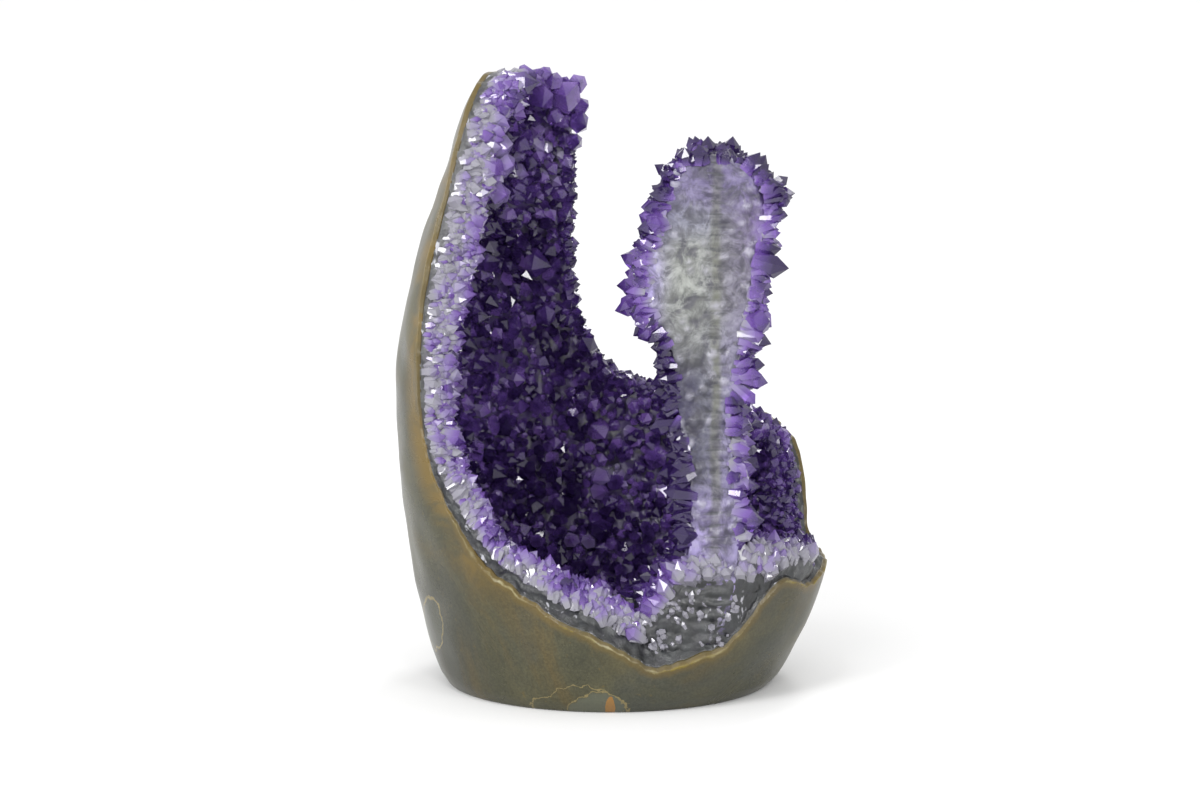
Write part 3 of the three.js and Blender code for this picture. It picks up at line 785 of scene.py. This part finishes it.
def sown(surface, count, jitter, rng):
    """Places sown evenly over a surface: the number of places below a share goes with the area below
    it, and each place is a golden angle on from the one before, as seeds are on a sunflower. Each is
    then moved by up to jitter times the gap between neighbours."""
    share = np.linspace(0.002, 0.998, 400)
    around = np.linspace(0, 2 * np.pi, 48, endpoint=False)[:, None]
    _, reach_a, reach_b = facing(surface, around + 0 * share, share + 0 * around)
    area = (reach_a * reach_b).mean(axis=0)
    below = np.cumsum(area)
    angle = np.arange(count) * GOLDEN
    place = np.interp((np.arange(count) + 0.5) / count * below[-1], below, share)
    gap = np.sqrt(2 * np.pi * area.mean() / count)
    _, reach_a, reach_b = facing(surface, angle, place)
    angle = angle + rng.uniform(-jitter, jitter, count) * gap / np.maximum(reach_a, gap)
    place = place + rng.uniform(-jitter, jitter, count) * gap / reach_b
    return angle, np.clip(place, 0.002, 0.998)


def cut_at(azimuth, values):
    """What the cut edge has at an azimuth: its height or its slope."""
    order = np.argsort(cut_azimuth)
    return np.interp(azimuth, cut_azimuth[order], values[order], period=2 * np.pi)


rng = np.random.default_rng(31)
azimuth, share = sown(bed, 7600, 0.4, rng)
root = bed(azimuth, share)
out, _, _ = facing(bed, azimuth, share)
depth = bed_depth(azimuth, root[:, 2])
room = cut_at(azimuth, cut_height) + cut_at(azimuth, cut_slope) * depth - root[:, 2]
kept = room > -0.5 * mm
root, out, azimuth = root[kept], out[kept], azimuth[kept]
degrees = np.degrees(azimuth) % 360
radius = mm * (1.1 + 1.6 * rng.uniform(0, 1, len(root)) ** 2)
large = rng.uniform(0, 1, len(root)) < 0.07
radius = np.where(large, radius * 1.65, radius)
length = radius * rng.uniform(1.5, 2.3, len(root)) + 2.4 * mm
axis = out + 0.34 * rng.normal(size=root.shape)
# Beside the sawn edge they are pale, and elsewhere dark to the edge.
sawn_or_low = (degrees > 166) & (degrees < 350)
near_cut = np.exp(-below_cut(root) / (9 * mm)) * sawn_or_low
tone = 0.66 + 0.21 * rng.normal(size=len(root)) + 0.12 * waves(root, 40 * mm, 33) - 0.7 * near_cut
crystal_piece("lining_crystals", root - out * SUNK, axis, radius, length, tone, 34)

# Along the cut the crystals stand on the edge itself. On the broken back and right they are small, dark
# and upright. On the sawn left and low front they are pale, and lie across the cut with their tips to the
# hollow, inside a strip of bare grey quartz. The edges' spans are in degrees round the cut.
BROKEN_EDGE, SAWN_EDGE = (345, 500), (176, 279)


def sizes(rng, count, thinnest, spread, power, slim, stem):
    """Radii and lengths: a radius is the thinnest plus the spread times a random share to a power, and a
    length is the radius times a random number between the two of slim, plus a stem, all in mm."""
    radius = mm * (thinnest + spread * rng.uniform(0, 1, count) ** power)
    return radius, radius * rng.uniform(*slim, count) + stem * mm


def on_cut(count, span, across, rng):
    """Places on the cut between two azimuths in degrees, at shares of the way across the band,
    with the cut's outward direction and the level direction to the inside."""
    degrees = np.degrees(cut_azimuth)
    column = rng.choice(np.flatnonzero((degrees > span[0]) & (degrees < span[1])), count)
    azimuth, height, slope = cut_azimuth[column], cut_height[column], cut_slope[column]
    rock = BAND_BACK["depth"]
    inset = rock + (bed_depth(azimuth, height) - rock) * across
    root = oval(azimuth, height + slope * inset, inset)
    ahead = cut_place[(column + 3) % COLUMNS] - cut_place[column - 3]
    inwards = oval(azimuth, height + slope * (inset + mm), inset + mm) - root
    up = np.cross(ahead, inwards)
    up /= np.linalg.norm(up, axis=1, keepdims=True)
    inwards /= np.linalg.norm(inwards, axis=1, keepdims=True)
    return root, up, inwards


rng = np.random.default_rng(41)
count = 1900
across = 0.25 + 0.75 * rng.uniform(0, 1, count)
root, up, inwards = on_cut(count, BROKEN_EDGE, across, rng)
radius, length = sizes(rng, count, 1.0, 1.1, 2, (1.4, 2.2), 1.8)
axis = up * rng.uniform(0.3, 1.0, (count, 1)) + inwards * (0.2 + 0.9 * across[:, None])
axis += 0.3 * rng.normal(size=(count, 3))
tone = 0.64 + 0.12 * rng.normal(size=count)
crystal_piece("broken_edge_crystals", root - up * SUNK, axis, radius, length, tone, 42)

count = 2500
across = rng.uniform(0.07, 1, count)
root, up, inwards = on_cut(count, SAWN_EDGE, across, rng)
grey_strip = 0.4 * np.clip((75 * mm - root[:, 2]) / (25 * mm), 0, 1)
radius, length = sizes(rng, count, 1.0, 1.3, 1.6, (1.2, 2.0), 2.4)
axis = up * rng.uniform(-0.05, 0.5, (count, 1)) + inwards + 0.25 * rng.normal(size=(count, 3))
tone = -0.02 + 0.34 * across**2 + 0.2 * rng.normal(size=count) + 0.16 * waves(root, 14 * mm, 43)
sawn = [root - up * 0.95 * radius[:, None], axis, radius, length, tone]
crystal_piece("sawn_edge_crystals", *[part[across > grey_strip] for part in sawn], 44)

# Round the lip over the hollow stand the largest crystals, blunt and clear, with pale ones below them on
# the left, and small ones between them on the edge.
LIP_EDGE = (107, 178)
# A large crystal's length in its own radii
BLUNT = 2.6
# The large crystals: middle x, y and height and radius in mm, axis, and tone
LIP = np.array(
    [
        [-30.5, 4.5, 173.5, 3.6, 0.25, -0.9, -0.3, 0.42],
        [-26.5, 9, 177, 3.0, 0.1, -0.9, -0.1, 0.36],
        [-21.3, 11, 175.5, 4.7, 0.05, -0.9, -0.3, 0.5],
        [-17.2, 14, 180, 3.0, 0.1, -0.8, 0.3, 0.42],
        [-13.4, 16, 176, 5.2, 0.15, -0.95, -0.1, 0.36],
        [-16.6, 14, 169.5, 2.8, 0.2, -0.9, -0.3, 0.52],
        [-9.8, 19, 179.3, 3.0, 0.3, -0.8, 0.2, 0.42],
        [-9.3, 20, 167.5, 3.7, 0.4, -0.9, -0.25, 0.6],
        [-8.2, 20, 172.5, 2.8, 0.5, -0.8, 0.0, 0.46],
        [-10.5, 20, 161.5, 2.6, 0.5, -0.8, -0.1, 0.62],
        [-35, -2, 167, 3.0, 0.4, -0.9, 0.1, 0.14],
        [-32.5, -4, 162.5, 3.6, 0.4, -0.9, 0.0, 0.1],
        [-31, -4, 157, 3.7, 0.5, -0.9, -0.1, 0.14],
        [-34.5, -6, 153.5, 3.2, 0.4, -0.9, -0.1, 0.08],
        [-33, -5, 149, 3.5, 0.5, -0.9, -0.2, 0.2],
    ]
)

count = 1100
across = rng.uniform(0.06, 1, count)
root, up, inwards = on_cut(count, LIP_EDGE, across, rng)
radius, length = sizes(rng, count, 0.9, 1.1, 1.5, (1.2, 1.9), 1.5)
axis = up * rng.uniform(0.0, 0.45, (count, 1)) + inwards + 0.25 * rng.normal(size=(count, 3))
broken = np.clip((root[:, 0] + 32 * mm) / (14 * mm), 0, 1)
tone = -0.1 + 0.12 * across + 0.46 * broken + 0.12 * rng.normal(size=count)
room = rng.uniform(0, 1, count) > 0.7 * broken
root = root - up * (1.7 + 0.8 * broken[:, None]) * mm
small = [part[room] for part in (root, axis, radius, length, tone)]
radius = LIP[:, 3] * mm
axis = LIP[:, 4:7] / np.linalg.norm(LIP[:, 4:7], axis=1, keepdims=True)
root = LIP[:, :3] * mm - axis * (BLUNT / 2 * radius)[:, None]
large = [root, axis, radius, BLUNT * radius, LIP[:, 7]]
crystal_piece("lip_crystals", *[np.concatenate(kinds) for kinds in zip(small, large)], 45)

# The septum's crystals stand out from its sides, back and top, with larger ones among them. On the sawn
# face they are only at its two edges, where they lie flat and fan out to the left and right.
# The share of the way up at which the side turns in over the top
SHOULDER = 0.93


def septum_side(angle, share):
    """The septum's side by angle round the spine and share of its height, closing over its top."""
    low, high = 30 * mm, SEPTUM[-1, 0]
    t = np.clip((share - SHOULDER) / (1 - SHOULDER), 0, 1)
    side = slab(SEPTUM, angle, low + (high - low) * np.clip(share / SHOULDER, 0, 1))
    middle = np.array([SPINE_X, -18 * mm, 0]) * np.ones_like(side)
    middle[..., 2] = side[..., 2] + 1.5 * mm
    return side + (middle - side) * t[..., None]


rng = np.random.default_rng(51)
count = 3200
angle, share = sown(septum_side, count, 0.35, rng)
root = septum_side(angle, share)
inwards, _, _ = facing(septum_side, angle, share)
out = -inwards
high = share > SHOULDER
out[high] = [0, -0.1, 1]
left, right, face, _ = through(SEPTUM[:, 0], SEPTUM[:, 1:], root[:, 2]).T
sideways = (root[:, 0] - SPINE_X) / np.where(root[:, 0] < SPINE_X, left, right)
sawn = (root[:, 1] < face + 0.2 * mm) & ~high
keep = ~sawn | (np.abs(sideways) > rng.uniform(0.74, 1.06, count))
# In front none reaches down to the mound.
keep &= (root[:, 2] > 49 * mm) | (root[:, 1] > -24 * mm)
large = ~sawn & (rng.uniform(0, 1, count) < 0.07)
radius = mm * (1.1 + 1.5 * rng.uniform(0, 1, count) ** 2 + 0.8 * large)
length = radius * rng.uniform(1.3, 2.1, count) + mm * (2.7 + 0.7 * large)
length *= 1 + 0.28 * np.clip(waves(root, 9 * mm, 54), -1.2, 1.2)
# Those over the top are shorter.
length = np.where(root[:, 2] > 152 * mm, 0.8 * length, length)
fan = np.stack([np.sign(sideways), 0 * sideways - 0.1, 0.25 * rng.normal(size=count)], -1)
axis = np.where(sawn[:, None], fan, out) + 0.28 * rng.normal(size=(count, 3))
root = root - out * 1.5 * mm
root[:, 1] = np.where(sawn, face + 0.5 * radius, root[:, 1])
dark_low_left = np.clip((116 * mm - root[:, 2]) / (10 * mm), 0, 1) * (sideways < 0)
dark = np.maximum(dark_low_left, 0.4 * np.clip((root[:, 2] - 142 * mm) / (8 * mm), 0, 1))
tone = np.where(sawn, 0.14 + 0.3 * np.abs(sideways), 0.62)
tone += (1.22 - tone) * dark + 0.13 * rng.normal(size=count) + 0.15 * waves(root, 26 * mm, 53)
crystal_piece("septum_crystals", *[part[keep] for part in (root, axis, radius, length, tone)], 52)

# The mound at the septum's foot has pale crystals on its top, a row of larger ones along its front edge,
# violet ones down its left flank, and a few pale specks on the grey quartz in front.
FOOT_MIDDLE = np.array([SPINE_X + 8 * mm, -18 * mm, 20 * mm])


def foot_top(angle, share):
    """The top of the septum's foot: from a point over its middle out to its shoulder, sinking with the
    cube of the share."""
    height = 45.5 * mm - 9 * mm * share**3 + 0 * angle
    edge = held(slab(MOUND, angle, height), 2.5 * mm)
    middle = FOOT_MIDDLE * np.ones_like(edge)
    middle[..., 2] = height
    return middle + (edge - middle) * np.sqrt(share)[..., None]


def on_foot(count, span, reach, rng):
    """Places on the foot's top between two angles in degrees and two shares of the way out,
    with the direction away from its middle deep inside."""
    angle = np.radians(rng.uniform(*span, count))
    root = foot_top(angle, rng.uniform(*reach, count))
    outwards = root - FOOT_MIDDLE
    return root, outwards / np.linalg.norm(outwards, axis=1, keepdims=True)


rng = np.random.default_rng(61)
count = 560
root, outwards = on_foot(count, (0, 360), (0.02, 0.75), rng)
radius, length = sizes(rng, count, 1.2, 1.5, 1.5, (1.3, 2.0), 2.4)
axis = outwards + 0.3 * rng.normal(size=(count, 3))
tone = 0.01 + 0.14 * rng.normal(size=count) + 0.4 * np.clip((root[:, 1] + 30 * mm) / (20 * mm), 0, 1)
top = [root - outwards * 2 * mm, axis, radius, length, tone]
count = 300
root, outwards = on_foot(count, (205, 375), (0.45, 0.9), rng)
radius, length = sizes(rng, count, 1.4, 1.4, 1.5, (1.4, 2.0), 3.6)
axis = 0.5 * outwards + np.array([0, -0.25, 0.6]) + 0.22 * rng.normal(size=(count, 3))
row = [root - outwards * SUNK, axis, radius, length, -0.12 + 0.14 * rng.normal(size=count)]
count = 260
angle = np.radians(rng.uniform(115, 215, count))
root = held(slab(MOUND, angle, rng.uniform(20, 43, count) * mm), 2 * mm)
radius, length = sizes(rng, count, 1.2, 1.5, 1.5, (1.3, 2.0), 2.4)
axis = np.array([-0.8, -0.25, 0.5]) + 0.3 * rng.normal(size=(count, 3))
tone = 0.3 + 0.4 * np.clip((root[:, 1] + 38 * mm) / (14 * mm), 0, 1) + 0.15 * rng.normal(size=count)
flank = [root + np.array([1.6, 0.4, -1]) * mm, axis, radius, length, tone]
count = 80
angle = np.radians(rng.uniform(220, 285, count))
root = held(slab(MOUND, angle, rng.uniform(14, 36, count) * mm), 2 * mm)
radius = mm * rng.uniform(0.5, 1.15, count)
axis = np.array([-0.45, -0.5, 0.8]) + 0.45 * rng.normal(size=(count, 3))
root = root + np.array([0, 0.4, -0.6]) * mm
specks = [root, axis, radius, radius * 1.6 + 1.2 * mm, np.full(count, -0.3)]
crystal_piece("foot_crystals", *[np.concatenate(kinds) for kinds in zip(top, row, flank, specks)], 62)

# The studio: a floor without an edge in sight, painted darker near the object and paler away from it to
# even out the lamps' light so that it shows white, white all round, a soft key from the upper left, a
# fill from the right, a high back light that picks out the points, and small lights for the glints.
bpy.ops.mesh.primitive_plane_add(size=16)
floor = bpy.context.object
floor.name = "studio_floor"
white = new_material("studio_white", Roughness=0.9)
# Painted light: the floor is darker near the object, where the lamps light it, and paler away from it,
# where their light has fallen off.
away = node(white, "VectorMath", {"operation": "LENGTH"}, _0=spot(white))
pale = between(white, away.outputs["Value"], 0.25, 1.7, 0, 1)
dress(white, Base_Color=ramp(white, pale, (0.0, (0.68, 0.68, 0.68)), (1.0, (0.95, 0.95, 0.95))))
floor.data.materials.append(white)

world = bpy.data.worlds.new("studio_world")
world.use_nodes = True
world.node_tree.nodes["Background"].inputs["Color"].default_value = (1, 1, 1, 1)
world.node_tree.nodes["Background"].inputs["Strength"].default_value = 1.05
bpy.context.scene.world = world


def softbox(name, place, size, watts):
    """A square lamp that looks at the middle of the object."""
    aim = Vector((0, 0, 90 * mm))
    lamp = bpy.data.lights.new(name, "AREA")
    lamp.size = size
    lamp.energy = watts
    lit = bpy.data.objects.new(name, lamp)
    lit.location = place
    lit.rotation_euler = (aim - Vector(place)).to_track_quat("-Z", "Y").to_euler()
    bpy.context.scene.collection.objects.link(lit)


softbox("key_light", (-0.85, -0.8, 0.65), 0.5, 12)
softbox("fill_light", (0.8, -0.8, 0.5), 0.3, 2)
softbox("back_light", (0.3, 0.6, 1.0), 0.3, 3.5)
softbox("high_glint", (0.25, -1.0, 0.6), 0.16, 1.6)
softbox("left_glint", (-0.5, -1.1, 0.25), 0.16, 1.4)
softbox("low_glint", (0.05, -1.2, 0.05), 0.14, 1.1)
softbox("top_glint", (-0.2, -0.5, 1.1), 0.16, 1.4)
softbox("right_glint", (0.6, -1.0, 0.35), 0.16, 1.2)
softbox("middle_glint", (-0.2, -1.2, 0.45), 0.16, 1.2)
softbox("upper_glint", (0.5, -0.8, 0.9), 0.16, 1.2)

CAMERA_DISTANCE = 1.0
LOOK_AT = Vector((-0.003, 0, 0.0859))
elevation = np.radians(10)
camera = bpy.data.objects.new("photo_camera", bpy.data.cameras.new("photo_camera"))
camera.data.sensor_width = 36
camera.data.lens = 100
camera.location = LOOK_AT + CAMERA_DISTANCE * Vector((0, -np.cos(elevation), np.sin(elevation)))
camera.rotation_euler = (np.radians(90) - elevation, 0, 0)
bpy.context.scene.collection.objects.link(camera)
bpy.context.scene.camera = camera
bpy.context.scene.view_settings.view_transform = "Standard"
